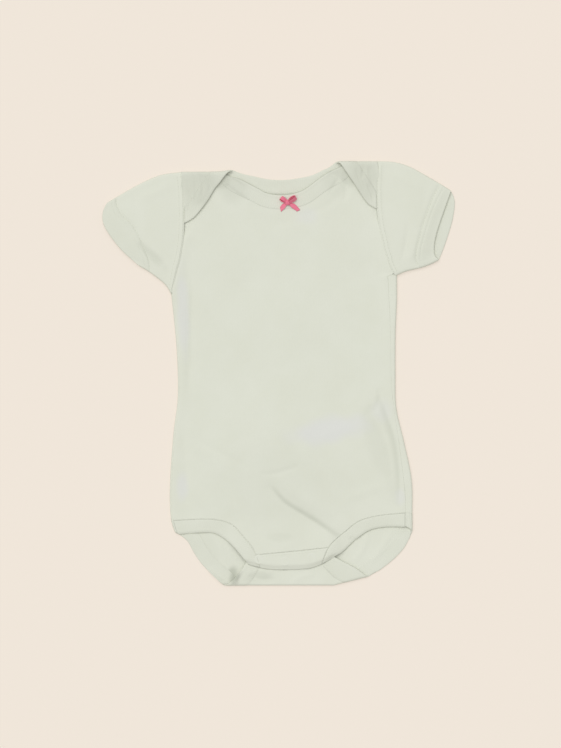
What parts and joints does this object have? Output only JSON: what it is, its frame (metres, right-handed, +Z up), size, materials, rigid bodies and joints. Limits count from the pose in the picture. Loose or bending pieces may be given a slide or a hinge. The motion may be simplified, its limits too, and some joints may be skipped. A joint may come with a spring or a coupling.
{
  "type": "baby onesie",
  "caption": "Short-sleeved baby onesie with lap shoulders, bound leg openings and a snap crotch, laid flat.",
  "frame": {"origin": "on the surface that the garment lies on, under the middle of its bounding box", "axes": "+Z up out of the front panel, +Y towards the neck, +X towards the sleeve on the right of the picture"},
  "size_m": [0.3346, 0.4028, 0.0085],
  "materials": {
    "jersey": "pale sage cotton jersey, matt, fine single knit",
    "rib": "pale sage cotton rib knit, folded double and twin-stitched",
    "snap": "pale sage moulded snap, satin",
    "ribbon": "rose pink satin ribbon, soft sheen"
  },
  "bodies": {
    "root": {"back_body": "jersey", "front_body": "jersey", "sleeve_left": "jersey", "sleeve_right": "jersey", "crotch_hem_front": "jersey", "neck_binding_back": "rib", "neck_binding_front": "rib", "leg_binding_back_left": "rib", "leg_binding_back_right": "rib", "leg_binding_front_left": "rib", "leg_binding_front_right": "rib", "snap_cap_left": "snap", "snap_cap_middle": "snap", "snap_cap_right": "snap", "snap_socket_left": "snap", "snap_socket_middle": "snap", "snap_socket_right": "snap", "snap_stud_left": "snap", "snap_stud_middle": "snap", "snap_stud_right": "snap", "bow_knot": "ribbon", "bow_loop_left": "ribbon", "bow_loop_right": "ribbon", "bow_tail_left": "ribbon", "bow_tail_right": "ribbon"}
  },
  "joints": []
}
